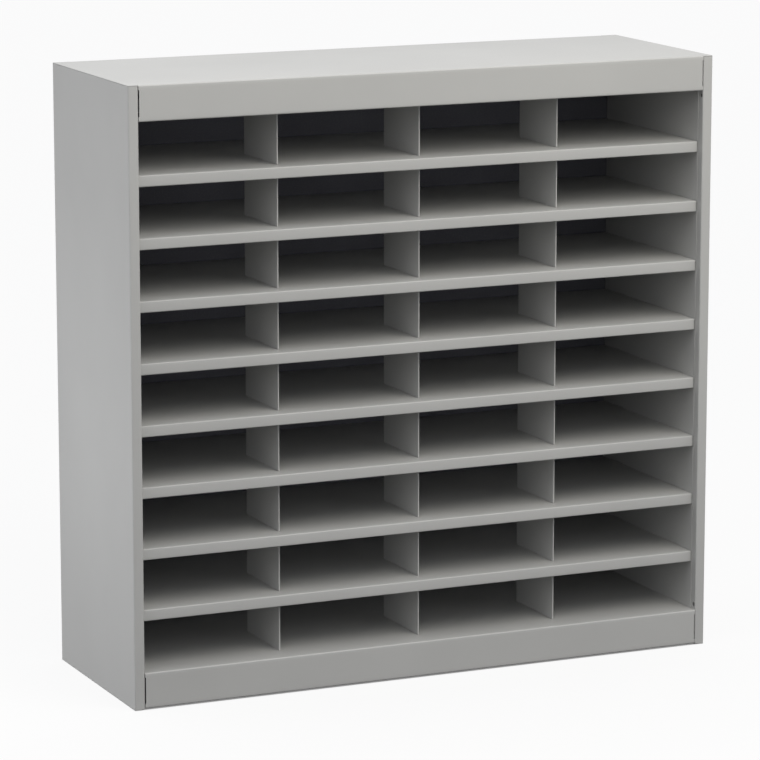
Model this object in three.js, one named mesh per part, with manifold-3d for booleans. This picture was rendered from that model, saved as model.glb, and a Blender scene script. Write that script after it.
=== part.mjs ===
// Pigeonhole mail sorter: a folded sheet-steel cabinet with tabbed-in shelves and short dividers.
// Millimetres, +Z up. X runs across the width, the open front faces -Y, and the origin lies on the
// floor at the centre of the footprint.
import * as THREE from 'three';
import { mergeVertices } from 'three/addons/utils/BufferGeometryUtils.js';
import Module from 'manifold-3d';

const wasm = await Module();
wasm.setup();

// Overall size and layout
const WIDTH = 952.5;
const DEPTH = 323.85; // front flanges to the rivet heads on the back
const HEIGHT = 927.1;
const COLUMNS = 4;
const ROWS = 9;

// Sheets, board and bends
const PANEL_SHEET = 0.8; // sides, top and base
const LINER_SHEET = 0.8; // inner walls of the sides
const SHELF_SHEET = 0.8; // shelves and top liner
const DIVIDER_SHEET = 0.7;
const BOARD = 3.2;
const PANEL_BEND = 1.4; // inside radius of a bend in panel or side liner sheet
const SHELF_BEND = 1.0; // inside radius of a bend in shelf sheet
const HOOK_BEND = 0.3; // inside radius of a folded hook
const BEND_STEPS = 3;

// Side panels: an outer pan whose front flange turns back, and a slotted liner lapped over that return
const SIDE_THICKNESS = 15.9;
const FRONT_RETURN = 24; // depth of the return behind the front plane
const FOOT_TAPER = 2; // rise of the front flange's lower edge, from the skin to the return
const LINER_SETBACK = 13; // liner's front edge behind the front plane
const REAR_FLANGE = 26;
const HANG_HOLE = 6; // diameter of the holes for the paint line's hooks
const HANG_HOLE_INSET = 5.4; // behind the front plane
const HANG_HOLE_OFFSET = 8; // below the top apron and above the base deck

// Top panel, base panel and the notched ends of their aprons
const APRON = 53.2;
const APRON_RETURN = 9;
const TOP_REAR_FLANGE = 20;
const TOP_RELIEF = 5; // length of the slits that free the top's front and rear bends
const TOP_SPACE = 40.4; // liner deck to the top face
const BASE_HEIGHT = 56;
const BASE_LIFT = 2; // lower edges of the apron and the board above the floor
const BASE_RETURN = 10;
const BASE_TAB_REACH = 2; // base tabs behind the liners
const EAR = 7; // full-width length at the top and bottom of an apron's end
const NOTCH = 1.2; // depth of the cut between an apron's ears

// Shelves and top liner
const LIP = 17;
const LIP_SETBACK = 13; // lip behind the front plane
const LIP_RETURN = 10;
const SHELF_REAR_FLANGE = 15;
const TOP_LINER_FLANGE = 20;
const SHELF_END_GAP = 1;
const SHELF_BACK_GAP = 1.7;
const HOOK_WIDTH = 30;
const HOOK_INSET = 40; // from the deck's front and rear edges
const HOOK_DROP = 8;

// Dividers
const DIVIDER_DEPTH = 127;
const DIVIDER_SETBACK = 38; // hemmed edge behind the front plane
const HEM_DEPTH = 10;
const HEM_THICKNESS = 2;
const TAB_WIDTH = 14;
const TAB_INSET = 4; // outer tabs from the hem and from the rear edge
const TAB_SPACING = 8; // between a lower tab and the upper tab beside it
const LOWER_TAB_REACH = 1.2; // below the deck that it passes through
const UPPER_TAB_RECESS = 0.1; // below the face of the deck that it ends in

// Rivets of the back board
const RIVET_SHANK = 3.2;
const RIVET_HEAD = 6.5;
const RIVET_HEAD_HEIGHT = 1.2;
const RIVET_BULGE = 4.8;
const RIVET_BULGE_LENGTH = 2.4;
const RIVET_TIP = 3.1; // diameter at the end of the bulge
const RIVET_MARGIN = 60; // end rivets from the ends of the flange
const RIVETS_PER_SIDE = 4;
const RIVETS_ACROSS = 3;
const RIVET_FACETS = 10;
const HOLE_FACETS = 10;
const DOME_STEPS = 3;

// Clearances
const SEAT_GAP = 0.3; // between faces that rest on or hold each other
const EAR_GAP = 0.3; // apron ears to the returns, and base ends to the liners
const SLOT_GAP = 0.4; // around a tab or hook in its slot
const BOARD_GAP = 0.3; // board edges to the bends at the rear of the sides and top
const FLANGE_GAP = 0.6; // between neighbouring rear flanges
const OVERLAP = 2; // how far a cutter runs past a sheet, or a joined piece reaches into one

// Places worked out from the sizes
const INNER = WIDTH / 2 - SIDE_THICKNESS; // half the clear width between the front returns
const WALL = INNER - SEAT_GAP - LINER_SHEET; // half the clear width between the liners
const FRONT = -DEPTH / 2;
const REAR = DEPTH / 2 - RIVET_HEAD_HEIGHT - SEAT_GAP; // rear faces of the flanges
const BOARD_BACK = REAR - PANEL_SHEET - SEAT_GAP;
const BOARD_FRONT = BOARD_BACK - BOARD;
const STOP = BOARD_FRONT - SEAT_GAP; // rear faces of the liners and of the base
const SIDE_HEIGHT = HEIGHT - PANEL_SHEET - SEAT_GAP;
const REAR_FLANGE_END = WIDTH / 2 - REAR_FLANGE;
const EAR_END = INNER - EAR_GAP;
const BASE_END = WALL - EAR_GAP;
const ROW_PITCH = (HEIGHT - TOP_SPACE - BASE_HEIGHT) / ROWS;
const SHELF_FRONT = FRONT + LIP_SETBACK;
const SHELF_REAR = STOP - SHELF_BACK_GAP;
const SHELF_END = WALL - SHELF_END_GAP;
const HOOK_FACE = WALL + LINER_SHEET + SEAT_GAP + SHELF_SHEET; // outer face of a folded hook
const DIVIDER_FRONT = FRONT + DIVIDER_SETBACK;
const DIVIDER_HEIGHT = ROW_PITCH - SHELF_SHEET - 2 * SEAT_GAP;
const CROSS_GRIP = PANEL_SHEET + SEAT_GAP + BOARD; // one flange and the board
const SIDE_GRIP = CROSS_GRIP + SEAT_GAP + LINER_SHEET; // the liner's flange too
const SIDE_RIVET_X = WIDTH / 2 - SIDE_THICKNESS / 2;
const TOP_RIVET_Z = HEIGHT - TOP_REAR_FLANGE / 2;
const BASE_RIVET_Z = BASE_HEIGHT / 2;

// Finishes
function finish(color, roughness, metalness) {
  return new THREE.MeshStandardMaterial({ color, roughness, metalness });
}
const greyPaint = finish(0xb4b5af, 0.5, 0.0);
const darkBoard = finish(0x2f3032, 0.85, 0.0);
const bareAluminium = finish(0xb9bcc0, 0.35, 1.0);

// Height of the deck that carries row n, counted from 0 at the base. Level ROWS is the top liner.
const deckLevel = (level) => BASE_HEIGHT + level * ROW_PITCH;

// Evenly spaced values from first to last
function spread(first, last, count) {
  return Array.from({ length: count }, (_, i) => first + ((last - first) * i) / (count - 1));
}

// Turns a closed three.js geometry into a solid that can be joined and cut.
function solidOf(geometry) {
  geometry.deleteAttribute('normal');
  geometry.deleteAttribute('uv');
  const merged = mergeVertices(geometry);
  const corners = merged.index.array;
  const triangles = [];
  for (let i = 0; i < corners.length; i += 3) {
    const [a, b, c] = corners.slice(i, i + 3);
    // A lathe leaves collapsed triangles where its profile meets the axis.
    if (a !== b && b !== c && c !== a) triangles.push(a, b, c);
  }
  return new wasm.Manifold(new wasm.Mesh({
    numProp: 3,
    vertProperties: merged.attributes.position.array,
    triVerts: Uint32Array.from(triangles),
  }));
}

function geometryOf(solid) {
  const { vertProperties, triVerts } = solid.getMesh();
  const geometry = new THREE.BufferGeometry();
  geometry.setAttribute('position', new THREE.BufferAttribute(vertProperties, 3));
  geometry.setIndex(new THREE.BufferAttribute(triVerts, 1));
  geometry.computeVertexNormals();
  return geometry;
}

function block([x0, x1], [y0, y1], [z0, z1]) {
  const box = new THREE.BoxGeometry(x1 - x0, y1 - y0, z1 - z0);
  return solidOf(box.translate((x0 + x1) / 2, (y0 + y1) / 2, (z0 + z1) / 2));
}

// A round cutter along Y, centred on the given point
function drillY(diameter, x, y, z, length) {
  const bit = new THREE.CylinderGeometry(diameter / 2, diameter / 2, length, HOLE_FACETS);
  return solidOf(bit.translate(x, y, z));
}

// A round cutter along X, centred on the given point
function drillX(diameter, x, y, z, length) {
  const bit = new THREE.CylinderGeometry(diameter / 2, diameter / 2, length, HOLE_FACETS);
  return solidOf(bit.rotateZ(Math.PI / 2).translate(x, y, z));
}

const AXIS_X = new THREE.Vector3(1, 0, 0);
const AXIS_Y = new THREE.Vector3(0, 1, 0);
const AXIS_Z = new THREE.Vector3(0, 0, 1);

function extrude(shape, length, across, up, along, start) {
  const geometry = new THREE.ExtrudeGeometry(shape, { depth: length, bevelEnabled: false });
  const place = new THREE.Matrix4().makeBasis(across, up, along).setPosition(start);
  return solidOf(geometry.applyMatrix4(place));
}

// A profile drawn in Y and Z, run along X
function extrudeX(shape, x0, x1) {
  return extrude(shape, x1 - x0, AXIS_Y, AXIS_Z, AXIS_X, new THREE.Vector3(x0, 0, 0));
}

// A profile drawn in X and Z, run along Y
function extrudeY(shape, y0, y1) {
  return extrude(shape, y1 - y0, AXIS_X, AXIS_Z, AXIS_Y.clone().negate(), new THREE.Vector3(0, y1, 0));
}

// A profile drawn in X and Y, run along Z
function extrudeZ(shape, z0, z1) {
  return extrude(shape, z1 - z0, AXIS_X, AXIS_Y, AXIS_Z, new THREE.Vector3(0, 0, z0));
}

function heading([x0, y0], [x1, y1]) {
  return new THREE.Vector2(x1 - x0, y1 - y0).normalize();
}

function rightOf(direction) {
  return new THREE.Vector2(direction.y, -direction.x);
}

// The section of a folded sheet. The path runs along the outer face, every fold turns right, and the
// sheet lies on the right of the path.
function foldedSheet(path, sheet, insideRadius) {
  const outer = [];
  const inner = [];
  const addPair = (point, across) => {
    outer.push(point);
    inner.push(point.clone().addScaledVector(across, sheet));
  };
  const last = path.length - 1;
  addPair(new THREE.Vector2(...path[0]), rightOf(heading(path[0], path[1])));
  for (let i = 1; i < last; i++) {
    const before = heading(path[i - 1], path[i]);
    const turn = before.angleTo(heading(path[i], path[i + 1]));
    const radius = insideRadius + sheet;
    const centre = new THREE.Vector2(...path[i])
      .addScaledVector(before, -radius * Math.tan(turn / 2))
      .addScaledVector(rightOf(before), radius);
    for (let step = 0; step <= BEND_STEPS; step++) {
      const inward = rightOf(before).rotateAround(new THREE.Vector2(), (-turn * step) / BEND_STEPS);
      addPair(centre.clone().addScaledVector(inward, -radius), inward);
    }
  }
  addPair(new THREE.Vector2(...path[last]), rightOf(heading(path[last - 1], path[last])));
  return new THREE.Shape([...outer, ...inner.reverse()]);
}

// The same path on the other hand of the cabinet
const mirrored = (path) => path.map(([x, y]) => [-x, y]).reverse();
const onSide = (side, [x0, x1]) => (side > 0 ? [x0, x1] : [-x1, -x0]);
const SIDES = [-1, 1];

// Front and rear hooks or tabs at a deck's ends, as places along Y
const hookRuns = [
  [SHELF_FRONT + HOOK_INSET, SHELF_FRONT + HOOK_INSET + HOOK_WIDTH],
  [SHELF_REAR - HOOK_INSET - HOOK_WIDTH, SHELF_REAR - HOOK_INSET],
];

// Tabs of a divider, as places along Y behind its front edge
const lowerTabs = [
  [HEM_DEPTH + TAB_INSET, HEM_DEPTH + TAB_INSET + TAB_WIDTH],
  [DIVIDER_DEPTH - TAB_INSET - TAB_WIDTH, DIVIDER_DEPTH - TAB_INSET],
];
const upperTabs = [
  [lowerTabs[0][1] + TAB_SPACING, lowerTabs[0][1] + TAB_SPACING + TAB_WIDTH],
  [lowerTabs[1][0] - TAB_SPACING - TAB_WIDTH, lowerTabs[1][0] - TAB_SPACING],
];
const dividerFaces = spread(-WALL, WALL, COLUMNS + 1).slice(1, -1).map((x) => x - DIVIDER_SHEET / 2);

const widen = ([from, to], gap) => [from - gap, to + gap];
const shift = ([from, to], by) => [from + by, to + by];

const sideRivetHeights = spread(RIVET_MARGIN, SIDE_HEIGHT - RIVET_MARGIN, RIVETS_PER_SIDE);
const crossRivetPlaces = spread(RIVET_MARGIN - WALL, WALL - RIVET_MARGIN, RIVETS_ACROSS);
const RIVET_HOLE = RIVET_SHANK + 2 * SEAT_GAP;

// Cutter for the foot of a side's front flange and return, which rises from the skin toward the opening
function footCutter(side) {
  const outline = [
    [WIDTH / 2 - PANEL_SHEET - PANEL_BEND, -OVERLAP],
    [WIDTH / 2 - PANEL_SHEET - PANEL_BEND, 0],
    [INNER, FOOT_TAPER],
    [INNER - OVERLAP, FOOT_TAPER],
    [INNER - OVERLAP, -OVERLAP],
  ];
  const shape = new THREE.Shape(outline.map(([x, z]) => new THREE.Vector2(side * x, z)));
  return extrudeY(shape, FRONT - OVERLAP, FRONT + FRONT_RETURN + OVERLAP);
}

// Side panel: outer skin, front flange with its return, rear flange, and ends that close the pan at the
// floor and under the top
function sidePanel(side) {
  const plan = [
    [REAR_FLANGE_END, REAR],
    [WIDTH / 2, REAR],
    [WIDTH / 2, FRONT],
    [INNER, FRONT],
    [INNER, FRONT + FRONT_RETURN],
  ];
  const section = foldedSheet(side > 0 ? plan : mirrored(plan), PANEL_SHEET, PANEL_BEND);
  let panel = extrudeZ(section, 0, SIDE_HEIGHT).subtract(footCutter(side));
  const endX = onSide(side, [INNER + PANEL_SHEET + SEAT_GAP, WIDTH / 2 - PANEL_SHEET / 2]);
  const endY = [FRONT + PANEL_SHEET + PANEL_BEND + SEAT_GAP, STOP - LINER_SHEET - SEAT_GAP];
  panel = panel.add(block(endX, endY, [0, PANEL_SHEET]));
  panel = panel.add(block(endX, endY, [SIDE_HEIGHT - PANEL_SHEET, SIDE_HEIGHT]));
  const returnX = side * (INNER + PANEL_SHEET / 2);
  for (const z of [BASE_HEIGHT + HANG_HOLE_OFFSET, HEIGHT - APRON - HANG_HOLE_OFFSET]) {
    const hole = drillX(HANG_HOLE, returnX, FRONT + HANG_HOLE_INSET, z, PANEL_SHEET + 2 * OVERLAP);
    panel = panel.subtract(hole);
  }
  for (const z of sideRivetHeights) {
    panel = panel.subtract(drillY(RIVET_HOLE, side * SIDE_RIVET_X, REAR, z, 2 * (PANEL_SHEET + OVERLAP)));
  }
  return panel;
}

// Side liner: the inner wall with a pair of slots for each deck, and a flange in front of the board
function sideLiner(side) {
  const plan = [
    [WALL, FRONT + LINER_SETBACK],
    [WALL, STOP],
    [WIDTH / 2 - PANEL_SHEET - SEAT_GAP, STOP],
  ];
  const section = foldedSheet(side > 0 ? plan : mirrored(plan), LINER_SHEET, PANEL_BEND);
  let liner = extrudeZ(section, 0, SIDE_HEIGHT);
  const wall = onSide(side, [WALL - OVERLAP, WALL + LINER_SHEET + OVERLAP]);
  for (let level = 0; level <= ROWS; level++) {
    const sheet = level > 0 ? SHELF_SHEET : PANEL_SHEET;
    const slotZ = widen([deckLevel(level) - sheet, deckLevel(level)], SLOT_GAP);
    for (const run of hookRuns) liner = liner.subtract(block(wall, widen(run, SLOT_GAP), slotZ));
  }
  for (const z of sideRivetHeights) {
    liner = liner.subtract(drillY(RIVET_HOLE, side * SIDE_RIVET_X, STOP, z, 2 * (LINER_SHEET + OVERLAP)));
  }
  return liner;
}

// Cuts the middle of an apron's ends back, leaving an ear above and below.
function notchApron(panel, bottom, top) {
  let notched = panel;
  for (const side of SIDES) {
    const x = onSide(side, [EAR_END - NOTCH, INNER + OVERLAP]);
    const through = [FRONT - OVERLAP, FRONT + PANEL_SHEET + OVERLAP];
    notched = notched.subtract(block(x, through, [bottom + EAR, top - EAR]));
  }
  return notched;
}

// Outline of the top's wing over a side, with outer corners as round as the side's bends
function wingOutline(side) {
  const round = PANEL_SHEET + PANEL_BEND;
  const wing = new THREE.Shape();
  wing.moveTo(INNER, FRONT);
  wing.absarc(WIDTH / 2 - round, FRONT + round, round, -Math.PI / 2, 0, false);
  wing.absarc(WIDTH / 2 - round, REAR - round, round, 0, Math.PI / 2, false);
  wing.lineTo(REAR_FLANGE_END, REAR);
  wing.lineTo(REAR_FLANGE_END, FRONT + TOP_RELIEF);
  wing.lineTo(INNER, FRONT + TOP_RELIEF);
  return new THREE.Shape(wing.getPoints(BEND_STEPS).map(({ x, y }) => new THREE.Vector2(side * x, y)));
}

// Top panel: apron and deck between the sides, wings over the sides, and a flange behind the board
function topPanel() {
  const apronPath = [
    [FRONT + APRON_RETURN, HEIGHT - APRON],
    [FRONT, HEIGHT - APRON],
    [FRONT, HEIGHT],
    [REAR - TOP_RELIEF, HEIGHT],
  ];
  const flangePath = [
    [REAR - 2 * TOP_RELIEF, HEIGHT],
    [REAR, HEIGHT],
    [REAR, HEIGHT - TOP_REAR_FLANGE],
  ];
  const flangeEnd = REAR_FLANGE_END - FLANGE_GAP;
  let panel = extrudeX(foldedSheet(apronPath, PANEL_SHEET, PANEL_BEND), -EAR_END, EAR_END);
  panel = panel.add(extrudeX(foldedSheet(flangePath, PANEL_SHEET, PANEL_BEND), -flangeEnd, flangeEnd));
  for (const side of SIDES) {
    panel = panel.add(extrudeZ(wingOutline(side), HEIGHT - PANEL_SHEET, HEIGHT));
  }
  for (const x of crossRivetPlaces) {
    panel = panel.subtract(drillY(RIVET_HOLE, x, REAR, TOP_RIVET_Z, 2 * (PANEL_SHEET + OVERLAP)));
  }
  return notchApron(panel, HEIGHT - APRON, HEIGHT);
}

// Slots through a deck for the tabs of the dividers that stand on it or hang under it
function slotDeck(deck, tabs, [bottom, top]) {
  let slotted = deck;
  for (const x of dividerFaces) {
    for (const tab of tabs) {
      const slotX = widen([x, x + DIVIDER_SHEET], SLOT_GAP);
      const slotY = widen(shift(tab, DIVIDER_FRONT), SLOT_GAP);
      slotted = slotted.subtract(block(slotX, slotY, [bottom - OVERLAP, top + OVERLAP]));
    }
  }
  return slotted;
}

// Base panel: kick apron, floor of the bottom row and rear flange. Behind its apron the deck steps in
// between the liners and has tabs that go through them.
function basePanel() {
  const path = [
    [FRONT + BASE_RETURN, BASE_LIFT],
    [FRONT, BASE_LIFT],
    [FRONT, BASE_HEIGHT],
    [STOP, BASE_HEIGHT],
    [STOP, BASE_LIFT],
  ];
  let panel = extrudeX(foldedSheet(path, PANEL_SHEET, PANEL_BEND), -EAR_END, EAR_END);
  const deckZ = [BASE_HEIGHT - PANEL_SHEET, BASE_HEIGHT];
  panel = slotDeck(panel, lowerTabs, deckZ);
  const step = FRONT + LINER_SETBACK - SEAT_GAP;
  for (const side of SIDES) {
    const wasteX = onSide(side, [BASE_END, EAR_END + OVERLAP]);
    panel = panel.subtract(block(wasteX, [step, STOP + OVERLAP], widen([BASE_LIFT, BASE_HEIGHT], OVERLAP)));
    const tabX = onSide(side, [BASE_END - OVERLAP, WALL + LINER_SHEET + BASE_TAB_REACH]);
    for (const run of hookRuns) panel = panel.add(block(tabX, run, deckZ));
  }
  for (const x of crossRivetPlaces) {
    panel = panel.subtract(drillY(RIVET_HOLE, x, STOP, BASE_RIVET_Z, 2 * (PANEL_SHEET + OVERLAP)));
  }
  return notchApron(panel, BASE_LIFT, BASE_HEIGHT);
}

// Adds the four hooks that fold down behind the liners. The deck's upper face is at height 0.
function addHooks(deck) {
  const path = [
    [SHELF_END - OVERLAP, 0],
    [HOOK_FACE, 0],
    [HOOK_FACE, -HOOK_DROP],
  ];
  let hooked = deck;
  for (const [from, to] of hookRuns) {
    hooked = hooked.add(extrudeY(foldedSheet(path, SHELF_SHEET, HOOK_BEND), from, to));
    hooked = hooked.add(extrudeY(foldedSheet(mirrored(path), SHELF_SHEET, HOOK_BEND), from, to));
  }
  return hooked;
}

// Shelf, with the deck's upper face at height 0
function shelf() {
  const path = [
    [SHELF_FRONT + LIP_RETURN, -LIP],
    [SHELF_FRONT, -LIP],
    [SHELF_FRONT, 0],
    [SHELF_REAR, 0],
    [SHELF_REAR, -SHELF_REAR_FLANGE],
  ];
  const deck = extrudeX(foldedSheet(path, SHELF_SHEET, SHELF_BEND), -SHELF_END, SHELF_END);
  return slotDeck(addHooks(deck), [...lowerTabs, ...upperTabs], [-SHELF_SHEET, 0]);
}

// Top liner, the ceiling of the top row, with its flanges turned up behind the apron
function topLiner() {
  const path = [
    [SHELF_REAR, TOP_LINER_FLANGE - SHELF_SHEET],
    [SHELF_REAR, -SHELF_SHEET],
    [SHELF_FRONT, -SHELF_SHEET],
    [SHELF_FRONT, TOP_LINER_FLANGE - SHELF_SHEET],
  ];
  const deck = extrudeX(foldedSheet(path, SHELF_SHEET, SHELF_BEND), -SHELF_END, SHELF_END);
  return slotDeck(addHooks(deck), upperTabs, [-SHELF_SHEET, 0]);
}

// Divider, with its left face at X 0, its front edge at Y 0 and its lower edge at Z 0.
// Its upper edge is notched where the lower tabs of the divider above come through the shelf.
function divider() {
  const lowerLength = SEAT_GAP + SHELF_SHEET + LOWER_TAB_REACH;
  const upperTop = DIVIDER_HEIGHT + SEAT_GAP + SHELF_SHEET - UPPER_TAB_RECESS;
  const notchFloor = DIVIDER_HEIGHT - LOWER_TAB_REACH - SLOT_GAP;
  const nose = HEM_THICKNESS / 2;
  const outline = [[nose, 0]];
  for (const [from, to] of lowerTabs) {
    outline.push([from, 0], [from, -lowerLength], [to, -lowerLength], [to, 0]);
  }
  outline.push([DIVIDER_DEPTH, 0], [DIVIDER_DEPTH, DIVIDER_HEIGHT]);
  const features = [
    ...lowerTabs.map((tab) => ({ run: widen(tab, SLOT_GAP), level: notchFloor })),
    ...upperTabs.map((tab) => ({ run: tab, level: upperTop })),
  ].sort((a, b) => b.run[0] - a.run[0]);
  for (const { run: [from, to], level } of features) {
    outline.push([to, DIVIDER_HEIGHT], [to, level], [from, level], [from, DIVIDER_HEIGHT]);
  }
  outline.push([nose, DIVIDER_HEIGHT]);
  const sheet = extrudeX(new THREE.Shape(outline.map((p) => new THREE.Vector2(...p))), 0, DIVIDER_SHEET);

  const hem = new THREE.Shape();
  hem.moveTo(0, HEM_DEPTH);
  hem.lineTo(0, nose);
  hem.absarc(nose, nose, nose, Math.PI, 2 * Math.PI, false);
  hem.lineTo(HEM_THICKNESS, HEM_DEPTH);
  const hemPoints = new THREE.Shape(hem.getPoints(BEND_STEPS));
  return sheet.add(extrudeZ(hemPoints, 0, DIVIDER_HEIGHT));
}

// Board of the back, drilled for its rivets
function backPanel() {
  const margin = PANEL_SHEET + PANEL_BEND + BOARD_GAP;
  const edge = WIDTH / 2 - margin;
  let board = block([-edge, edge], [BOARD_FRONT, BOARD_BACK], [BASE_LIFT, HEIGHT - margin]);
  for (const { x, z } of rivetPlaces) {
    board = board.subtract(drillY(RIVET_HOLE, x, BOARD_BACK, z, 2 * (BOARD + OVERLAP)));
  }
  return board;
}

// Blind rivet along Y: domed head behind its seat at Y 0, shank through the grip, bulge in front of it
function rivet(grip) {
  const head = RIVET_HEAD / 2;
  const shank = RIVET_SHANK / 2;
  const bulge = RIVET_BULGE / 2;
  const bulgeStart = -grip - SEAT_GAP;
  const bulgeEnd = bulgeStart - RIVET_BULGE_LENGTH;
  const body = [
    [0, bulgeEnd],
    [RIVET_TIP / 2, bulgeEnd],
    [bulge, bulgeEnd + RIVET_BULGE_LENGTH / 2],
    [bulge, bulgeStart],
    [shank, bulgeStart],
    [shank, SEAT_GAP],
  ].map((p) => new THREE.Vector2(...p));
  const domeRadius = (head ** 2 + RIVET_HEAD_HEIGHT ** 2) / (2 * RIVET_HEAD_HEIGHT);
  const domeCentre = SEAT_GAP + RIVET_HEAD_HEIGHT - domeRadius;
  const dome = spread(Math.asin(head / domeRadius), 0, DOME_STEPS + 1).map(
    (angle) => new THREE.Vector2(domeRadius * Math.sin(angle), domeCentre + domeRadius * Math.cos(angle)),
  );
  return solidOf(new THREE.LatheGeometry([...body, ...dome], RIVET_FACETS));
}

// The sides' rivets clamp the board between the side's and the liner's flanges, the top's rivets clamp its
// flange over the board, and the base's rivets clamp the board over its flange.
const sideRivet = geometryOf(rivet(SIDE_GRIP));
const crossRivet = geometryOf(rivet(CROSS_GRIP));
const rivetPlaces = [];
sideRivetHeights.forEach((z, i) => {
  const place = { geometry: sideRivet, seat: REAR, z };
  rivetPlaces.push({ ...place, name: `rivet_left_${i + 1}`, x: -SIDE_RIVET_X });
  rivetPlaces.push({ ...place, name: `rivet_right_${i + 1}`, x: SIDE_RIVET_X });
});
crossRivetPlaces.forEach((x, i) => {
  const place = { geometry: crossRivet, x };
  rivetPlaces.push({ ...place, name: `rivet_top_${i + 1}`, seat: REAR, z: TOP_RIVET_Z });
  rivetPlaces.push({ ...place, name: `rivet_base_${i + 1}`, seat: BOARD_BACK, z: BASE_RIVET_Z });
});

function named(name, geometry, material) {
  const mesh = new THREE.Mesh(geometry, material);
  mesh.name = name;
  return mesh;
}

const sorter = new THREE.Group();
sorter.add(named('side_panel_left', geometryOf(sidePanel(-1)), greyPaint));
sorter.add(named('side_panel_right', geometryOf(sidePanel(1)), greyPaint));
sorter.add(named('side_liner_left', geometryOf(sideLiner(-1)), greyPaint));
sorter.add(named('side_liner_right', geometryOf(sideLiner(1)), greyPaint));
sorter.add(named('top_panel', geometryOf(topPanel()), greyPaint));
sorter.add(named('base_panel', geometryOf(basePanel()), greyPaint));
sorter.add(named('back_panel', geometryOf(backPanel()), darkBoard));

const liner = named('top_liner', geometryOf(topLiner()), greyPaint);
liner.position.z = deckLevel(ROWS);
sorter.add(liner);

// Shelves and rows are numbered from the top, as they are read on the front.
const shelfGeometry = geometryOf(shelf());
for (let number = 1; number < ROWS; number++) {
  const mesh = named(`shelf_${number}`, shelfGeometry, greyPaint);
  mesh.position.z = deckLevel(ROWS - number);
  sorter.add(mesh);
}

const dividerGeometry = geometryOf(divider());
for (let row = 1; row <= ROWS; row++) {
  const rowGroup = new THREE.Group();
  rowGroup.position.set(0, DIVIDER_FRONT, deckLevel(ROWS - row) + SEAT_GAP);
  dividerFaces.forEach((x, i) => {
    const mesh = named(`divider_row${row}_${i + 1}`, dividerGeometry, greyPaint);
    mesh.position.x = x;
    rowGroup.add(mesh);
  });
  sorter.add(rowGroup);
}

for (const { name, geometry, x, seat, z } of rivetPlaces) {
  const mesh = named(name, geometry, bareAluminium);
  mesh.position.set(x, seat, z);
  sorter.add(mesh);
}

export default sorter;
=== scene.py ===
"""Finish of a pigeonhole mail sorter: its folded sheets, back board and rivets, and a plain studio."""
import math

import bmesh
import bpy
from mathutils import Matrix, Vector


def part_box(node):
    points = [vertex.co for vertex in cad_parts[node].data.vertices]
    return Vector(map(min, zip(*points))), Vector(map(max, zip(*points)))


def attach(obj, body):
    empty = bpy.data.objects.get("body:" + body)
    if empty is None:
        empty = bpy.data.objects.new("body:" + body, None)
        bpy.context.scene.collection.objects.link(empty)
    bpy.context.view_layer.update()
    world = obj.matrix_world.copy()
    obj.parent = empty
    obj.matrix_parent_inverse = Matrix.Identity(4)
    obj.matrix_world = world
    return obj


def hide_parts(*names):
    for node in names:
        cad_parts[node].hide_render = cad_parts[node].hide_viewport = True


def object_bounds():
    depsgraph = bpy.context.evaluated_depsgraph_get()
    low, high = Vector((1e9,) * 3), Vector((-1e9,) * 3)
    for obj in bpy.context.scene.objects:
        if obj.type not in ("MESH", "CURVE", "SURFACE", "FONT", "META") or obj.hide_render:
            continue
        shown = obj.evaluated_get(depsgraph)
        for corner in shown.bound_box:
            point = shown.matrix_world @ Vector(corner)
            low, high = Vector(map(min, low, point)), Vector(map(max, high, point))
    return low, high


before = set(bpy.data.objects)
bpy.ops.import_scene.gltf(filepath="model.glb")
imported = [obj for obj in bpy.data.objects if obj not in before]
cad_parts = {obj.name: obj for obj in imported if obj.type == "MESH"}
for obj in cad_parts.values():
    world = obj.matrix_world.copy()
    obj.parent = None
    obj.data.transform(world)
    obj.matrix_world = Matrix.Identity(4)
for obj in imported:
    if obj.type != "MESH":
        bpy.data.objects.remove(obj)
CAD_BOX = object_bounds()

bl_info = {
    "name": "Mail Sorter Finish",
    "version": (1, 0, 0),
    "blender": (4, 5, 0),
    "location": "View3D > Sidebar > Sorter",
    "description": "Folds and paints the sheets of a mail sorter around its CAD frame",
    "category": "Object",
}

X, Y, Z = range(3)
SIDES = {"left": -1, "right": 1}  # which way along X each side lies
TOUCH = 1e-5  # two places closer than this are one place, in metres
MERGE = TOUCH / 2  # points of a fold closer than this become one
SNAP = TOUCH / 10  # a cut that passes a point this closely goes through it
FOLD_ANGLE = math.radians(40)  # sharper edges are folds or cut edges
BEND_STEPS = 6  # facets around a bend
EDGE_STEPS = 2  # facets across a softened edge
HOLE_CUTS = 5  # points added to each side of the square that becomes a hole
HOLE_WINDOW = 0.65  # half of the square that a hole is drilled in, in diameters
SQUARE = 0.99  # cosine above which a face counts as square to a direction
LOW, HIGH = CAD_BOX
SENSOR = 36  # millimetres across the camera's frame
WHITE = (1, 1, 1, 1)


# What a user may change

def length(name, description, default):
    """A length in metres."""
    return bpy.props.FloatProperty(
        name=name, description=description, default=default, min=0.0, precision=5,
        subtype="DISTANCE", unit="LENGTH")


def colour(name, description, default):
    """A linear colour."""
    return bpy.props.FloatVectorProperty(
        name=name, description=description, default=default, size=3, min=0.0, max=1.0, subtype="COLOR")


def number(name, description, default):
    """A plain number of at least 0."""
    return bpy.props.FloatProperty(name=name, description=description, default=default, min=0.0)


def portion(name, description, default):
    """A share from 0 to 1."""
    return bpy.props.FloatProperty(
        name=name, description=description, default=default, min=0.0, max=1.0, subtype="FACTOR")


def power(name, description, default):
    """A lamp's power in watts."""
    return bpy.props.FloatProperty(
        name=name, description=description, default=default, min=0.0, unit="POWER")


def focal(name, description, default):
    """A focal length in millimetres."""
    return bpy.props.FloatProperty(
        name=name, description=description, default=default, min=1.0, unit="CAMERA")


def angle(name, description, default):
    """An angle in radians."""
    return bpy.props.FloatProperty(name=name, description=description, default=default, subtype="ANGLE")


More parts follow.
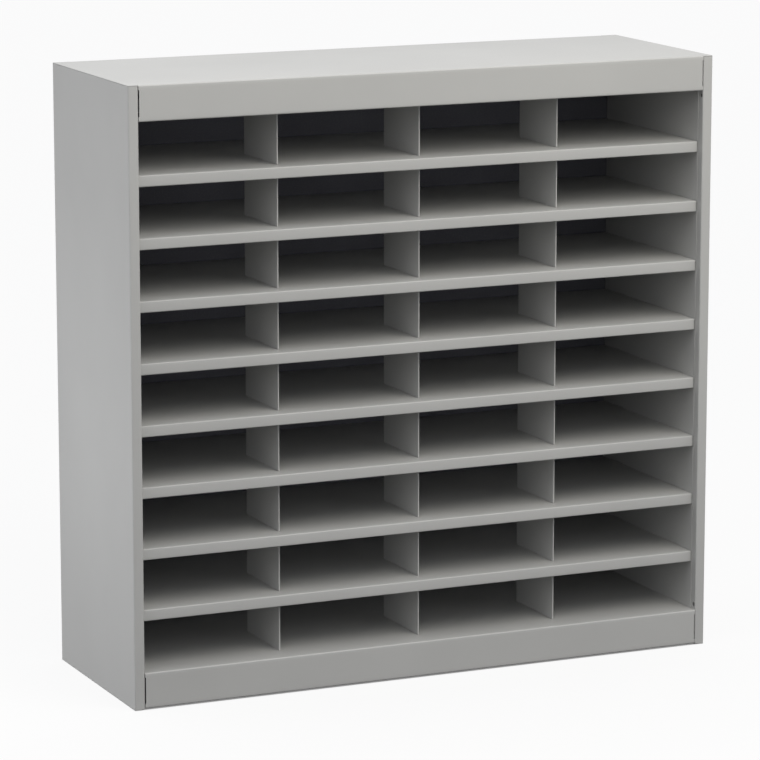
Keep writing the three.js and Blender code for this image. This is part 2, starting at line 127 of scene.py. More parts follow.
def position(name, description, default):
    """A place in metres."""
    return bpy.props.FloatVectorProperty(
        name=name, description=description, default=default, size=3, subtype="TRANSLATION", unit="LENGTH")


class SorterSizes(bpy.types.PropertyGroup):
    """Sizes of the folds, flanges, slots and fasteners"""

    panel_sheet: length("Panel sheet", "Steel of the sides, top and base", 0.0008)
    liner_sheet: length("Liner sheet", "Steel of the sides' inner walls", 0.0008)
    shelf_sheet: length("Shelf sheet", "Steel of the shelves and the top liner", 0.0008)
    divider_sheet: length("Divider sheet", "Steel of the dividers", 0.0007)
    panel_bend: length("Panel bend", "Outside radius of a bend in panel sheet", 0.0022)
    shelf_bend: length("Shelf bend", "Outside radius of a bend in shelf sheet", 0.0018)
    hook_bend: length("Hook bend", "Outside radius of a small fold, such as a shelf's hook", 0.0011)
    edge_round: length("Edge rounding", "Rounding of a cut edge under its paint", 0.00011)

    side_thickness: length("Side thickness", "Width of a side's front flange", 0.0159)
    front_return: length("Front return", "Depth of the flange's return behind the front plane", 0.0240)
    foot_taper: length("Foot taper", "Rise of a front flange's lower edge, from skin to return", 0.0020)
    end_relief: length("End relief", "Length of the slits beside a side's end flanges", 0.0025)
    hang_hole: length("Hanging hole", "Diameter of the holes in the front returns", 0.0060)
    hang_inset: length("Hanging hole inset", "Hole's centre behind the front plane", 0.0054)
    hang_offset: length("Hanging hole offset", "Hole below the top apron or above the base deck", 0.0080)

    apron_return: length("Apron return", "Flange along the lower edge of the top apron", 0.0090)
    top_rear_flange: length("Top rear flange", "Flange of the top behind the board", 0.0200)
    top_relief: length("Top relief", "Length of the slits beside the top's bends", 0.0050)
    flange_gap: length("Flange gap", "Between neighbouring rear flanges", 0.0006)
    base_return: length("Base return", "Flange along the lower edge of the kick apron", 0.0100)
    base_tab_reach: length("Base tab reach", "Length of the base's tabs behind the liners", 0.0020)
    ear: length("Apron ear", "Full-width length at the top and bottom of an apron's end", 0.0070)
    ear_gap: length("Ear gap", "Apron ears to the returns, and base ends to the liners", 0.0003)
    notch: length("Apron notch", "Depth of the cut between an apron's ears", 0.0012)

    lip_return: length("Lip return", "Flange along the lower edge of a shelf lip", 0.0100)
    shelf_rear_flange: length("Shelf rear flange", "Flange along a shelf's rear edge", 0.0150)
    shelf_end_gap: length("Shelf end gap", "Shelf ends to the liners", 0.0010)
    hook_width: length("Hook width", "Width of a folded hook", 0.0300)
    hook_inset: length("Hook inset", "Hooks from the front and rear of the deck", 0.0400)
    hook_drop: length("Hook drop", "Length of a hook behind the liner", 0.0080)
    slot_gap: length("Slot gap", "Room around a tab or hook in its slot", 0.0004)
    seat_gap: length("Seat gap", "Room between faces that rest on each other", 0.0003)

    hem_depth: length("Hem depth", "Depth of a divider's hemmed front edge", 0.0100)
    hem_thickness: length("Hem thickness", "Thickness across the hem", 0.0020)
    tab_width: length("Tab width", "Width of a divider's tab", 0.0140)
    tab_inset: length("Tab inset", "Outer tabs from the hem and the rear edge", 0.0040)
    tab_spacing: length("Tab spacing", "Between a lower tab and the upper tab beside it", 0.0080)
    tab_reach: length("Tab reach", "Lower tab below the deck that it passes through", 0.0012)
    tab_recess: length("Tab recess", "Upper tab below the face of the deck that it ends in", 0.0001)

    board_round: length("Board rounding", "Rounding of the back board's edges", 0.0005)
    rivet_head: length("Rivet head", "Diameter of a rivet's head", 0.0065)
    rivet_head_height: length("Rivet head height", "Height of the domed head", 0.0012)
    rivet_shank: length("Rivet shank", "Diameter of a rivet's shank", 0.0032)
    rivet_bore: length("Rivet bore", "Diameter of the hollow in the head", 0.0018)
    rivet_bulge: length("Rivet bulge", "Diameter of the upset end", 0.0048)
    rivet_bulge_length: length("Rivet bulge length", "Length of the upset end", 0.0024)
    rivet_tip: length("Rivet tip", "Diameter at the end of the upset end", 0.0031)


class SorterColours(bpy.types.PropertyGroup):
    """Colours of the finishes"""

    paint: colour("Paint", "Powder coat on the steel", (0.525, 0.527, 0.515))
    paint_shade: colour("Paint shade", "Powder coat where it lies a little thicker", (0.495, 0.497, 0.486))
    # Lighter paint of the cut edges: partly powder coat drawn thin, partly a painted highlight along the
    # edges.
    paint_edge_and_highlight: colour("Paint edge", "Powder coat drawn thin over a cut edge", (0.60, 0.60, 0.59))
    # The board's dark colours are painted shade: a real back board, darkened to stand in for the shade
    # deep in the compartments.
    board: colour("Board", "Charcoal coat of the back board", (0.123, 0.124, 0.145))
    board_fibre: colour("Board fibre", "Fibres that show through the coat", (0.165, 0.166, 0.181))
    rivet: colour("Rivet", "Drawn aluminium", (0.60, 0.61, 0.63))
    rivet_mark: colour("Rivet mark", "Dulled aluminium of handling marks", (0.51, 0.52, 0.535))
    floor: colour("Floor", "Pale studio floor", (0.80, 0.80, 0.80))


class SorterGrain(bpy.types.PropertyGroup):
    """Width of one cell of each finish's patterns, and the depth of those with relief"""

    cloud: length("Clouds", "Patches of thicker and thinner paint", 0.2)
    gloss: length("Gloss", "Specks of uneven gloss in the paint", 0.0011)
    peel: length("Orange peel", "Dimples of the paint", 0.0024)
    peel_depth: length("Orange peel depth", "Depth of the paint's dimples", 0.000054)
    fibre: length("Fibre", "Fibres that show through the board's coat", 0.0026)
    coat: length("Coat", "Patches of uneven gloss in the board's coat", 0.033)
    pressing: length("Pressing", "Pits between the board's pressed fibres", 0.0017)
    pressing_depth: length("Pressing depth", "Depth of the board's pits", 0.00014)
    mark: length("Mark", "Handling marks on the rivets", 0.0007)
    scuff: length("Scuff", "Uneven polish of the rivets", 0.0004)


class SorterStudio(bpy.types.PropertyGroup):
    """Camera, light and floor of the studio"""

    eye: position("Eye", "Place of the camera", (-2.45887, -5.48015, 1.60994))
    yaw: angle("Yaw", "Turn of the view to the right of straight back", 0.4205)
    pitch: angle("Pitch", "Tilt of the view below the horizon", 0.1938)
    lens: focal("Lens", "Focal length in millimetres on a 36 mm frame", 188.33)
    ambient: number("Ambient", "Strength of the even light from all round", 0.85)
    ambient_tint: colour("Ambient tint", "Slightly cool light from all round", (0.975, 0.975, 1.0))
    key_place: position("Key place", "Softbox above the right front", (0.5, -1.4, 1.85))
    key_size: length("Key size", "Side of the key softbox", 1.2)
    key_power: power("Key power", "Power of the key softbox", 13.6)
    key_tint: colour("Key tint", "Slightly warm light of the key softbox", (1.0, 0.965, 0.87))
    fill_place: position("Fill place", "Softbox beside the left side", (-0.95, 0.0, 0.38))
    fill_size: length("Fill size", "Side of the fill softbox", 0.45)
    fill_power: power("Fill power", "Power of the fill softbox", 0.72)
    fill_tint: colour("Fill tint", "Slightly cool light of the fill softbox", (0.97, 0.98, 1.0))
    overhead_place: position("Overhead place", "Softbox above the left side", (-0.9, -0.25, 1.85))
    overhead_size: length("Overhead size", "Side of the overhead softbox", 0.8)
    overhead_power: power("Overhead power", "Power of the overhead softbox", 2.6)
    overhead_tint: colour("Overhead tint", "White light of the overhead softbox", (1.0, 1.0, 1.0))
    floor_span: length("Floor span", "Side of the floor", 24.0)
    floor_bounce: portion("Floor bounce", "Share of the floor's colour that lights the object", 0.05)
    floor_white: portion("Floor white", "Share of plain white in the open floor as it is seen", 0.88)
    # The strip under the base's front gets painted light: plain white seen over its real shadow, which no
    # lamp lightens.
    painted_light_toe_depth: length("Toe depth", "Strip of floor under the base's front that light still reaches", 0.012)
    painted_light_toe_share: portion("Toe white", "Share of plain white in that strip as it is seen", 0.18)
    sky_white: number("Sky white", "Strength of the white beyond the floor, matched to the floor", 0.96)


def nodes_like(start):
    """CAD nodes whose names start alike, in order."""
    return sorted(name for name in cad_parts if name.startswith(start))


def widen(run, gap):
    """A run with a gap added at both ends."""
    return run[0] - gap, run[1] + gap


def inside(value, run):
    """Whether a value lies within a run."""
    return run[0] < value < run[1]


class Plan:
    """Places worked out from the frame and the sizes"""

    def __init__(self, sizes):
        self.inner = HIGH.x - sizes.side_thickness
        self.ear_end = self.inner - sizes.ear_gap
        liner_low, liner_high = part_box("side_liner_right")
        self.wall = liner_low.x
        self.liner_front = liner_low.y
        self.liner_flange_end = liner_high.x
        self.base_end = self.wall - sizes.ear_gap
        self.shelf_end = self.wall - sizes.shelf_end_gap
        deck_low, deck_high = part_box("shelf_1")
        self.hook_face = deck_high.x
        side_low, side_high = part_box("side_panel_right")
        self.rear_flange_end = side_low.x
        self.rear = side_high.y
        self.side_height = side_high.z
        self.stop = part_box("base_panel")[1].y
        self.base_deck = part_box("base_panel")[1].z
        self.deck_levels = sorted(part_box(node)[1].z for node in nodes_like("shelf_"))
        self.liner_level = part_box("top_liner")[0].z + sizes.hook_drop
        first, last = deck_low.y + sizes.hook_inset, deck_high.y - sizes.hook_inset
        self.hook_runs = [(first, first + sizes.hook_width), (last - sizes.hook_width, last)]
        divider_low, divider_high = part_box("divider_row1_1")
        self.divider_faces = [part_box(node)[0].x for node in nodes_like("divider_row1_")]
        tab = sizes.tab_width
        front_tab = divider_low.y + sizes.hem_depth + sizes.tab_inset
        rear_tab = divider_high.y - sizes.tab_inset - tab
        step = tab + sizes.tab_spacing
        self.lower_tabs = [(front_tab, front_tab + tab), (rear_tab, rear_tab + tab)]
        upper = (front_tab + step, rear_tab - step)
        self.upper_tabs = [(start, start + tab) for start in upper]


# Sheet metal: a surface is drawn, folded, scored, punched and given flanges, and gets its thickness last.

def draw_sheet(points, run):
    """The outer face of a sheet, drawn through a row of points and along a straight run."""
    bm = bmesh.new()
    row = [bm.verts.new(point) for point in points]
    edges = [bm.edges.new(pair) for pair in zip(row, row[1:])]
    pull_edges(bm, edges, run)
    return bm


def flat_sheet(level, x_run, y_run):
    """A flat, level sheet."""
    corners = [(x_run[0], y_run[0], level), (x_run[1], y_run[0], level)]
    return draw_sheet([Vector(c) for c in corners], Vector((0, y_run[1] - y_run[0], 0)))


def pull_edges(bm, edges, run):
    """Turns a flange out of some edges and returns its new outer edges."""
    made = bmesh.ops.extrude_edge_only(bm, edges=edges)["geom"]
    moved = [part for part in made if isinstance(part, bmesh.types.BMVert)]
    bmesh.ops.translate(bm, verts=moved, vec=run)
    ends = set(moved)
    return [part for part in made if isinstance(part, bmesh.types.BMEdge) and ends.issuperset(part.verts)]


def fold(bm, radius):
    """Rounds every sharp fold of a sheet."""
    bm.normal_update()
    folds = [e for e in bm.edges if len(e.link_faces) == 2 and e.calc_face_angle() > FOLD_ANGLE]
    bmesh.ops.bevel(
        bm, geom=folds, offset=radius, offset_type="OFFSET", affect="EDGES", segments=BEND_STEPS,
        profile=0.5, material=-1, clamp_overlap=False)
    bmesh.ops.remove_doubles(bm, verts=bm.verts, dist=MERGE)


def lies_in(part, axis, place):
    """Whether all of an edge or face lies at a place on an axis."""
    return all(abs(vert.co[axis] - place) < TOUCH for vert in part.verts)


def split_faces(bm, faces, axis, place):
    """Splits some faces square across an axis at a place."""
    square = Vector((0, 0, 0))
    square[axis] = 1
    edges = {edge for face in faces for edge in face.edges}
    verts = {vert for face in faces for vert in face.verts}
    bmesh.ops.bisect_plane(
        bm, geom=[*verts, *edges, *faces], dist=SNAP, plane_co=square * place, plane_no=square)


def score(bm, plane, axis, places):
    """Splits the faces that lie in a plane, given as axis and place, across another axis."""
    for place in places:
        split_faces(bm, [face for face in bm.faces if lies_in(face, *plane)], axis, place)


def punch(bm, plane, across, windows):
    """Cuts rectangular windows out of the faces that lie in a plane. A window is a run on each axis."""
    first, second = across
    score(bm, plane, first, sorted({place for window in windows for place in window[0]}))
    score(bm, plane, second, sorted({place for window in windows for place in window[1]}))
    scrap = []
    for face in bm.faces:
        if lies_in(face, *plane):
            middle = face.calc_center_median()
            if any(inside(middle[first], a) and inside(middle[second], b) for a, b in windows):
                scrap.append(face)
    bmesh.ops.delete(bm, geom=scrap, context="FACES")


def drill(bm, plane, across, centre, diameter):
    """Cuts a round hole in the faces that lie in a plane, inside a window that leaves room for its rim."""
    reach = HOLE_WINDOW * diameter
    for axis in across:
        score(bm, plane, axis, [centre[axis] - reach, centre[axis] + reach])
    flat = [face for face in bm.faces if lies_in(face, *plane)]
    window = min(flat, key=lambda face: (face.calc_center_median() - centre).length)
    bmesh.ops.subdivide_edges(bm, edges=window.edges[:], cuts=HOLE_CUTS)
    bmesh.ops.inset_individual(bm, faces=[window], thickness=TOUCH)
    for vert in window.verts:
        vert.co = centre + (vert.co - centre).normalized() * diameter / 2
    bmesh.ops.delete(bm, geom=[window], context="FACES")


def drill_for_rivets(bm, plane, rivets, sizes):
    """Drills a sheet or a board that lies across Y, for rivets given by their nodes."""
    for node in rivets:
        low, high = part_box(node)
        centre = (low + high) / 2
        centre.y = plane[1]
        drill(bm, plane, (X, Z), centre, sizes.rivet_shank + 2 * sizes.seat_gap)


def rim_edges(bm, axis, place, span_axis, spans, height=None):
    """Free edges at a place on one axis, with middles in spans of another and at a height if given."""
    found = []
    for edge in bm.edges:
        middle = (edge.verts[0].co + edge.verts[1].co) / 2
        in_span = any(inside(middle[span_axis], span) for span in spans)
        at_height = height is None or abs(middle.z - height) < TOUCH
        if edge.is_boundary and lies_in(edge, axis, place) and in_span and at_height:
            found.append(edge)
    return found


def add_piece(bm, name, node):
    """Makes an object of a mesh, to stand for a CAD node and ride on the cabinet."""
    mesh = bpy.data.meshes.new(name)
    for face in bm.faces:
        face.smooth = True
    bm.to_mesh(mesh)
    bm.free()
    piece = bpy.data.objects.new(name, mesh)
    bpy.context.scene.collection.objects.link(piece)
    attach(piece, "root")
    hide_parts(node)
    return piece


def face_outward(bm, outward):
    """Turns a drawn face the right way round: its largest part square to outward looks that way."""
    bmesh.ops.recalc_face_normals(bm, faces=bm.faces)
    square = [face for face in bm.faces if abs(face.normal.dot(outward)) > SQUARE]
    if max(square, key=lambda face: face.calc_area()).normal.dot(outward) < 0:
        bmesh.ops.reverse_faces(bm, faces=bm.faces)


def thicken(piece, thickness, rounding, edge_material=-1):
    """Gives a piece its thickness behind the face that is drawn, and softens its cut edges.

    The edges keep the face's material, unless the number of another one is given.
    """
    body = piece.modifiers.new("Thickness", "SOLIDIFY")
    body.thickness = thickness
    body.offset = -1
    body.use_even_offset = True
    soft = piece.modifiers.new("Softened edges", "BEVEL")
    soft.width = rounding
    soft.segments = EDGE_STEPS
    soft.limit_method = "ANGLE"
    soft.angle_limit = FOLD_ANGLE
    soft.use_clamp_overlap = False
    soft.harden_normals = True
    soft.material = edge_material


def add_sheet(bm, node, thickness, outward, sizes):
    """Makes a painted piece of a folded sheet, with lighter paint over its cut edges: partly paint drawn
    thin, partly a painted highlight.
    """
    face_outward(bm, outward)
    piece = add_piece(bm, f"{node}_steel", node)
    finishes = ("powder_coat", "powder_coat_edge")
    for finish in finishes:
        piece.data.materials.append(bpy.data.materials[finish])
    thicken(piece, thickness, sizes.edge_round, finishes.index("powder_coat_edge"))


# Pieces

def taper_foot(bm, sizes, plan):
    """Lets the lower edge of a front flange and its return rise from the skin toward the opening."""
    start = HIGH.x - sizes.panel_bend
    for vert in bm.verts:
        at_foot = vert.co.z < TOUCH and vert.co.y < LOW.y + sizes.front_return + TOUCH
        if at_foot and abs(vert.co.x) < start:
            vert.co.z = sizes.foot_taper * (start - abs(vert.co.x)) / (start - plan.inner)


def side_panel(hand, side, sizes, plan):
    """Outer pan of a side: skin, front flange with its return, rear flange and closed ends."""
    outline = [
        (plan.rear_flange_end, plan.rear),
        (HIGH.x, plan.rear),
        (HIGH.x, LOW.y),
        (plan.inner, LOW.y),
        (plan.inner, LOW.y + sizes.front_return),
    ]
    bm = draw_sheet([Vector((side * x, y, 0)) for x, y in outline], Vector((0, 0, plan.side_height)))
    fold(bm, sizes.panel_bend)
    taper_foot(bm, sizes, plan)
    skin = (X, side * HIGH.x)
    run = (LOW.y + sizes.panel_bend + sizes.seat_gap, plan.stop - sizes.liner_sheet - sizes.seat_gap)
    slits = [(run[0] - sizes.seat_gap, run[0]), (run[1], run[1] + sizes.seat_gap)]
    ends = [(0, sizes.end_relief), (plan.side_height - sizes.end_relief, plan.side_height)]
    punch(bm, skin, (Y, Z), [(slit, end) for slit in slits for end in ends])
    reach = sizes.side_thickness - sizes.panel_sheet - sizes.seat_gap
    for z in (0, plan.side_height):
        pull_edges(bm, rim_edges(bm, *skin, Y, [run], z), Vector((-side * reach, 0, 0)))
    fold(bm, sizes.hook_bend)
    front_return = (X, side * plan.inner)
    apron_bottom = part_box("top_panel")[0].z
    for z in (plan.base_deck + sizes.hang_offset, apron_bottom - sizes.hang_offset):
        centre = Vector((side * plan.inner, LOW.y + sizes.hang_inset, z))
        drill(bm, front_return, (Y, Z), centre, sizes.hang_hole)
    drill_for_rivets(bm, (Y, plan.rear), nodes_like(f"rivet_{hand}_"), sizes)
    add_sheet(bm, f"side_panel_{hand}", sizes.panel_sheet, Vector((side, 0, 0)), sizes)


def side_liner(hand, side, sizes, plan):
    """Inner wall of a side, lapped over the front return, with slots for the decks' hooks."""
    outline = [
        (plan.wall, plan.liner_front),
        (plan.wall, plan.stop),
        (plan.liner_flange_end, plan.stop),
    ]
    bm = draw_sheet([Vector((side * x, y, 0)) for x, y in outline], Vector((0, 0, plan.side_height)))
    fold(bm, sizes.panel_bend)
    decks = [(level, sizes.shelf_sheet) for level in (*plan.deck_levels, plan.liner_level)]
    slots = []
    for level, sheet in [(plan.base_deck, sizes.panel_sheet), *decks]:
        height = widen((level - sheet, level), sizes.slot_gap)
        slots += [(widen(run, sizes.slot_gap), height) for run in plan.hook_runs]
    punch(bm, (X, side * plan.wall), (Y, Z), slots)
    drill_for_rivets(bm, (Y, plan.stop), nodes_like(f"rivet_{hand}_"), sizes)
    add_sheet(bm, f"side_liner_{hand}", sizes.liner_sheet, Vector((-side, 0, 0)), sizes)


def notch_apron(bm, bottom, top, sizes, plan):
    """Cuts the middle of an apron's ends back between its ears."""
    height = (bottom + sizes.ear, top - sizes.ear)
    cut = plan.ear_end - sizes.notch
    windows = [((cut, HIGH.x), height), ((-HIGH.x, -cut), height)]
    punch(bm, (Y, LOW.y), (X, Z), windows)


def round_corners(bm, corners, radius):
    """Rounds the corners of a flat sheet that lie at the given places."""
    found = [vert for vert in bm.verts if any((vert.co - place).length < TOUCH for place in corners)]
    bmesh.ops.bevel(
        bm, geom=found, offset=radius, offset_type="OFFSET", affect="VERTICES", segments=BEND_STEPS,
        profile=0.5, material=-1)


def top_panel(sizes, plan):
    """Top sheet over the sides, with an apron between the front flanges and a flange behind the board."""
    level = HIGH.z
    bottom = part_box("top_panel")[0].z
    flange_end = plan.rear_flange_end - sizes.flange_gap
    bm = flat_sheet(level, (LOW.x, HIGH.x), (LOW.y, plan.rear))
    slits = []
    for side in SIDES.values():
        front = sorted((side * plan.ear_end, side * plan.inner))
        rear = sorted((side * flange_end, side * plan.rear_flange_end))
        slits.append((front, (LOW.y, LOW.y + sizes.top_relief)))
        slits.append((rear, (plan.rear - sizes.top_relief, plan.rear)))
    punch(bm, (Z, level), (X, Y), slits)
    front = rim_edges(bm, Y, LOW.y, X, [(-plan.ear_end, plan.ear_end)])
    lower = pull_edges(bm, front, Vector((0, 0, bottom - level)))
    pull_edges(bm, lower, Vector((0, sizes.apron_return, 0)))
    rear = rim_edges(bm, Y, plan.rear, X, [(-flange_end, flange_end)])
    pull_edges(bm, rear, Vector((0, 0, -sizes.top_rear_flange)))
    fold(bm, sizes.panel_bend)
    notch_apron(bm, bottom, level, sizes, plan)
    corners = [Vector((x, y, level)) for x in (LOW.x, HIGH.x) for y in (LOW.y, plan.rear)]
    round_corners(bm, corners, sizes.panel_bend)
    drill_for_rivets(bm, (Y, plan.rear), nodes_like("rivet_top_"), sizes)
    add_sheet(bm, "top_panel", sizes.panel_sheet, Vector((0, 0, 1)), sizes)


def slot_windows(tabs, sizes, plan):
    """Slots of a deck for dividers' tabs."""
    return [(widen((face, face + sizes.divider_sheet), sizes.slot_gap), widen(tab, sizes.slot_gap))
            for face in plan.divider_faces for tab in tabs]


def step_ends(bm, end, front):
    """Cuts a sheet's ends back, behind a place near its front."""
    split_faces(bm, bm.faces[:], Y, front)
    for place in (-end, end):
        split_faces(bm, [face for face in bm.faces if face.calc_center_median().y > front], X, place)
    middles = {face: face.calc_center_median() for face in bm.faces}
    scrap = [face for face, middle in middles.items() if abs(middle.x) > end and middle.y > front]
    bmesh.ops.delete(bm, geom=scrap, context="FACES")


def base_panel(sizes, plan):
    """Kick apron, floor of the bottom row and rear flange, with tabs that go through the liners."""
    low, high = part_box("base_panel")
    path = [
        (low.y + sizes.base_return, low.z),
        (low.y, low.z),
        (low.y, high.z),
        (high.y, high.z),
        (high.y, low.z),
    ]
    outline = [Vector((-plan.ear_end, y, z)) for y, z in path]
    bm = draw_sheet(outline, Vector((2 * plan.ear_end, 0, 0)))
    fold(bm, sizes.panel_bend)
    front = plan.liner_front - sizes.seat_gap
    step_ends(bm, plan.base_end, front)
    deck = (Z, high.z)
    punch(bm, deck, (X, Y), slot_windows(plan.lower_tabs, sizes, plan))
    score(bm, deck, Y, [place for run in plan.hook_runs for place in run])
    reach = plan.wall + sizes.liner_sheet + sizes.base_tab_reach - plan.base_end
    for side in SIDES.values():
        ends = rim_edges(bm, X, side * plan.base_end, Y, plan.hook_runs, high.z)
        pull_edges(bm, ends, Vector((side * reach, 0, 0)))
    notch_apron(bm, low.z, high.z, sizes, plan)
    drill_for_rivets(bm, (Y, high.y), nodes_like("rivet_base_"), sizes)
    add_sheet(bm, "base_panel", sizes.panel_sheet, Vector((0, 0, 1)), sizes)


def add_hooks(bm, level, sizes, plan, inset=0.0):
    """Folds a deck's hooks down behind the liners. A deck drawn on its underside is inset by its sheet."""
    score(bm, (Z, level), Y, [place for run in plan.hook_runs for place in run])
    reach = plan.hook_face - inset - plan.shelf_end
    for side in SIDES.values():
        ends = rim_edges(bm, X, side * plan.shelf_end, Y, plan.hook_runs, level)
        tips = pull_edges(bm, ends, Vector((side * reach, 0, 0)))
        pull_edges(bm, tips, Vector((0, 0, inset - sizes.hook_drop)))
    fold(bm, sizes.hook_bend - inset)


def shelf(node, sizes, plan):
    """Deck with a front lip, a rear flange, hooks at its ends and slots for dividers."""
    low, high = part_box(node)
    path = [
        (low.y + sizes.lip_return, low.z),
        (low.y, low.z),
        (low.y, high.z),
        (high.y, high.z),
        (high.y, high.z - sizes.shelf_rear_flange),
    ]
    end = plan.shelf_end
    bm = draw_sheet([Vector((-end, y, z)) for y, z in path], Vector((2 * end, 0, 0)))
    fold(bm, sizes.shelf_bend)
    tabs = plan.lower_tabs + plan.upper_tabs
    punch(bm, (Z, high.z), (X, Y), slot_windows(tabs, sizes, plan))
    add_hooks(bm, high.z, sizes, plan)
    add_sheet(bm, node, sizes.shelf_sheet, Vector((0, 0, 1)), sizes)


def top_liner(sizes, plan):
    """Ceiling of the top row, with its flanges turned up behind the apron and hooks at its ends."""
    low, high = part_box("top_liner")
    under = plan.liner_level - sizes.shelf_sheet
    path = [(high.y, high.z), (high.y, under), (low.y, under), (low.y, high.z)]
    end = plan.shelf_end
    bm = draw_sheet([Vector((-end, y, z)) for y, z in path], Vector((2 * end, 0, 0)))
    fold(bm, sizes.shelf_bend)
    punch(bm, (Z, under), (X, Y), slot_windows(plan.upper_tabs, sizes, plan))
    add_hooks(bm, under, sizes, plan, sizes.shelf_sheet)
    add_sheet(bm, "top_liner", sizes.shelf_sheet, Vector((0, 0, -1)), sizes)


def divider(node, sizes, plan):
    """Upright sheet with a hemmed front edge, tabs above and below, and notches beside its upper tabs."""
    low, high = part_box(node)
    top = high.z - (sizes.seat_gap + sizes.shelf_sheet - sizes.tab_recess)
    bottom = low.z + sizes.seat_gap + sizes.shelf_sheet + sizes.tab_reach
    hem = low.x + sizes.hem_thickness
    path = [(hem, low.y + sizes.hem_depth), (hem, low.y), (low.x, low.y), (low.x, high.y)]
    bm = draw_sheet([Vector((x, y, bottom)) for x, y in path], Vector((0, 0, top - bottom)))
    fold(bm, sizes.hem_thickness / 2)
    web = (X, low.x)
    notch_floor = top - sizes.tab_reach - sizes.slot_gap
    punch(bm, web, (Y, Z), [(widen(tab, sizes.slot_gap), (notch_floor, top)) for tab in plan.lower_tabs])
    score(bm, web, Y, [place for tab in plan.lower_tabs + plan.upper_tabs for place in tab])
    pull_edges(bm, rim_edges(bm, X, low.x, Y, plan.lower_tabs, bottom), Vector((0, 0, low.z - bottom)))
    pull_edges(bm, rim_edges(bm, X, low.x, Y, plan.upper_tabs, top), Vector((0, 0, high.z - top)))
    add_sheet(bm, node, sizes.divider_sheet, Vector((-1, 0, 0)), sizes)


def back_board(sizes):
    """Board behind the compartments, drilled for its rivets."""
    low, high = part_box("back_panel")
    foot = [Vector((x, high.y, low.z)) for x in (low.x, high.x)]
    bm = draw_sheet(foot, Vector((0, 0, high.z - low.z)))
    drill_for_rivets(bm, (Y, high.y), nodes_like("rivet_"), sizes)
    face_outward(bm, Vector((0, 1, 0)))
    piece = add_piece(bm, "back_panel_board", "back_panel")
    # The board's dark colour is painted shade for the back of the compartments.
    piece.data.materials.append(bpy.data.materials["charcoal_board"])
    thicken(piece, high.y - low.y, sizes.board_round)


def rivet(node, sizes, turns=32, dome_steps=6):
    """Blind rivet along Y: domed head with a hollow middle, shank and upset end."""
    low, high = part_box(node)
    middle = (low + high) / 2
    head, height = sizes.rivet_head / 2, sizes.rivet_head_height
    bore = sizes.rivet_bore / 2
    under = high.y - height
    dome = (head ** 2 + height ** 2) / (2 * height)
    first, last = math.asin(bore / dome), math.asin(head / dome)
    sweep = [first + (last - first) * i / dome_steps for i in range(dome_steps + 1)]
    outline = [(0, under), (bore, under)]
    outline += [(dome * math.sin(a), high.y - dome + dome * math.cos(a)) for a in sweep]
    bulge = sizes.rivet_bulge / 2
    outline += [
        (sizes.rivet_shank / 2, under),
        (sizes.rivet_shank / 2, low.y + sizes.rivet_bulge_length),
        (bulge, low.y + sizes.rivet_bulge_length),
        (bulge, low.y + sizes.rivet_bulge_length / 2),
        (sizes.rivet_tip / 2, low.y),
        (0, low.y),
    ]
    bm = bmesh.new()
    row = [bm.verts.new((middle.x + r, y, middle.z)) for r, y in outline]
    edges = [bm.edges.new(pair) for pair in zip(row, row[1:])]
    bmesh.ops.spin(
        bm, geom=[*row, *edges], cent=middle, axis=(0, 1, 0), dvec=(0, 0, 0), angle=2 * math.pi,
        steps=turns, use_merge=True, use_duplicate=False)
    bmesh.ops.remove_doubles(bm, verts=bm.verts, dist=TOUCH)
    bmesh.ops.recalc_face_normals(bm, faces=bm.faces)
    piece = add_piece(bm, f"{node}_body", node)
    piece.data.set_sharp_from_angle(angle=FOLD_ANGLE)
    piece.data.materials.append(bpy.data.materials["drawn_aluminium"])


# Finishes

def add_node(tree, kind, inputs=None, **settings):
    """A new node with its settings and the values of its inputs."""
    node = tree.nodes.new(kind)
    for name, value in settings.items():
        setattr(node, name, value)
    for name, value in (inputs or {}).items():
        node.inputs[name].default_value = value
    return node


def new_material(name):
    """A new material's node tree and its shader."""
    material = bpy.data.materials.new(name)
    material.use_nodes = True
    return material.node_tree, material.node_tree.nodes["Principled BSDF"]


def object_noise(tree, cell, detail=2.0, roughness=0.5):
    """Noise fixed to the piece, with cells of a given width."""
    place = add_node(tree, "ShaderNodeTexCoord")
    noise = add_node(
        tree, "ShaderNodeTexNoise", {"Scale": 1 / cell, "Detail": detail, "Roughness": roughness})
    tree.links.new(place.outputs["Object"], noise.inputs["Vector"])
    return noise.outputs["Fac"]


def remap(tree, value, low=0.0, high=1.0, start=0.3, end=0.7):
    """Stretches the part of a noise between start and end over a range from low to high."""
    node = add_node(
        tree, "ShaderNodeMapRange",
        {"From Min": start, "From Max": end, "To Min": low, "To Max": high})
    tree.links.new(value, node.inputs["Value"])
    return node.outputs["Result"]


def blend_colours(tree, share, first, second):
    """The first colour where the share is 0, the second where it is 1."""
    node = add_node(tree, "ShaderNodeMix", data_type="RGBA")
    ends = [socket for socket in node.inputs if socket.type == "RGBA"]
    for socket, value in zip(ends, (first, second)):
        socket.default_value = (*value, 1)
    tree.links.new(share, node.inputs["Factor"])
    return next(socket for socket in node.outputs if socket.type == "RGBA")


def relief(tree, height, depth):
    """Normals of a surface that a noise raises by up to a depth."""
    node = add_node(tree, "ShaderNodeBump", {"Strength": 1.0, "Distance": depth})
    tree.links.new(height, node.inputs["Height"])
    return node.outputs["Normal"]


def powder_coat(name, main, shade, grain):
    """Satin powder coat: cloudy tone, fine orange peel and uneven gloss."""
    tree, shader = new_material(name)
    tone = remap(tree, object_noise(tree, grain.cloud, detail=4.0))
    tree.links.new(blend_colours(tree, tone, main, shade), shader.inputs["Base Color"])
    gloss = remap(tree, object_noise(tree, grain.gloss, detail=1.0), low=0.40, high=0.52)
    tree.links.new(gloss, shader.inputs["Roughness"])
    peel = relief(tree, object_noise(tree, grain.peel, detail=1.5), grain.peel_depth)
    tree.links.new(peel, shader.inputs["Normal"])


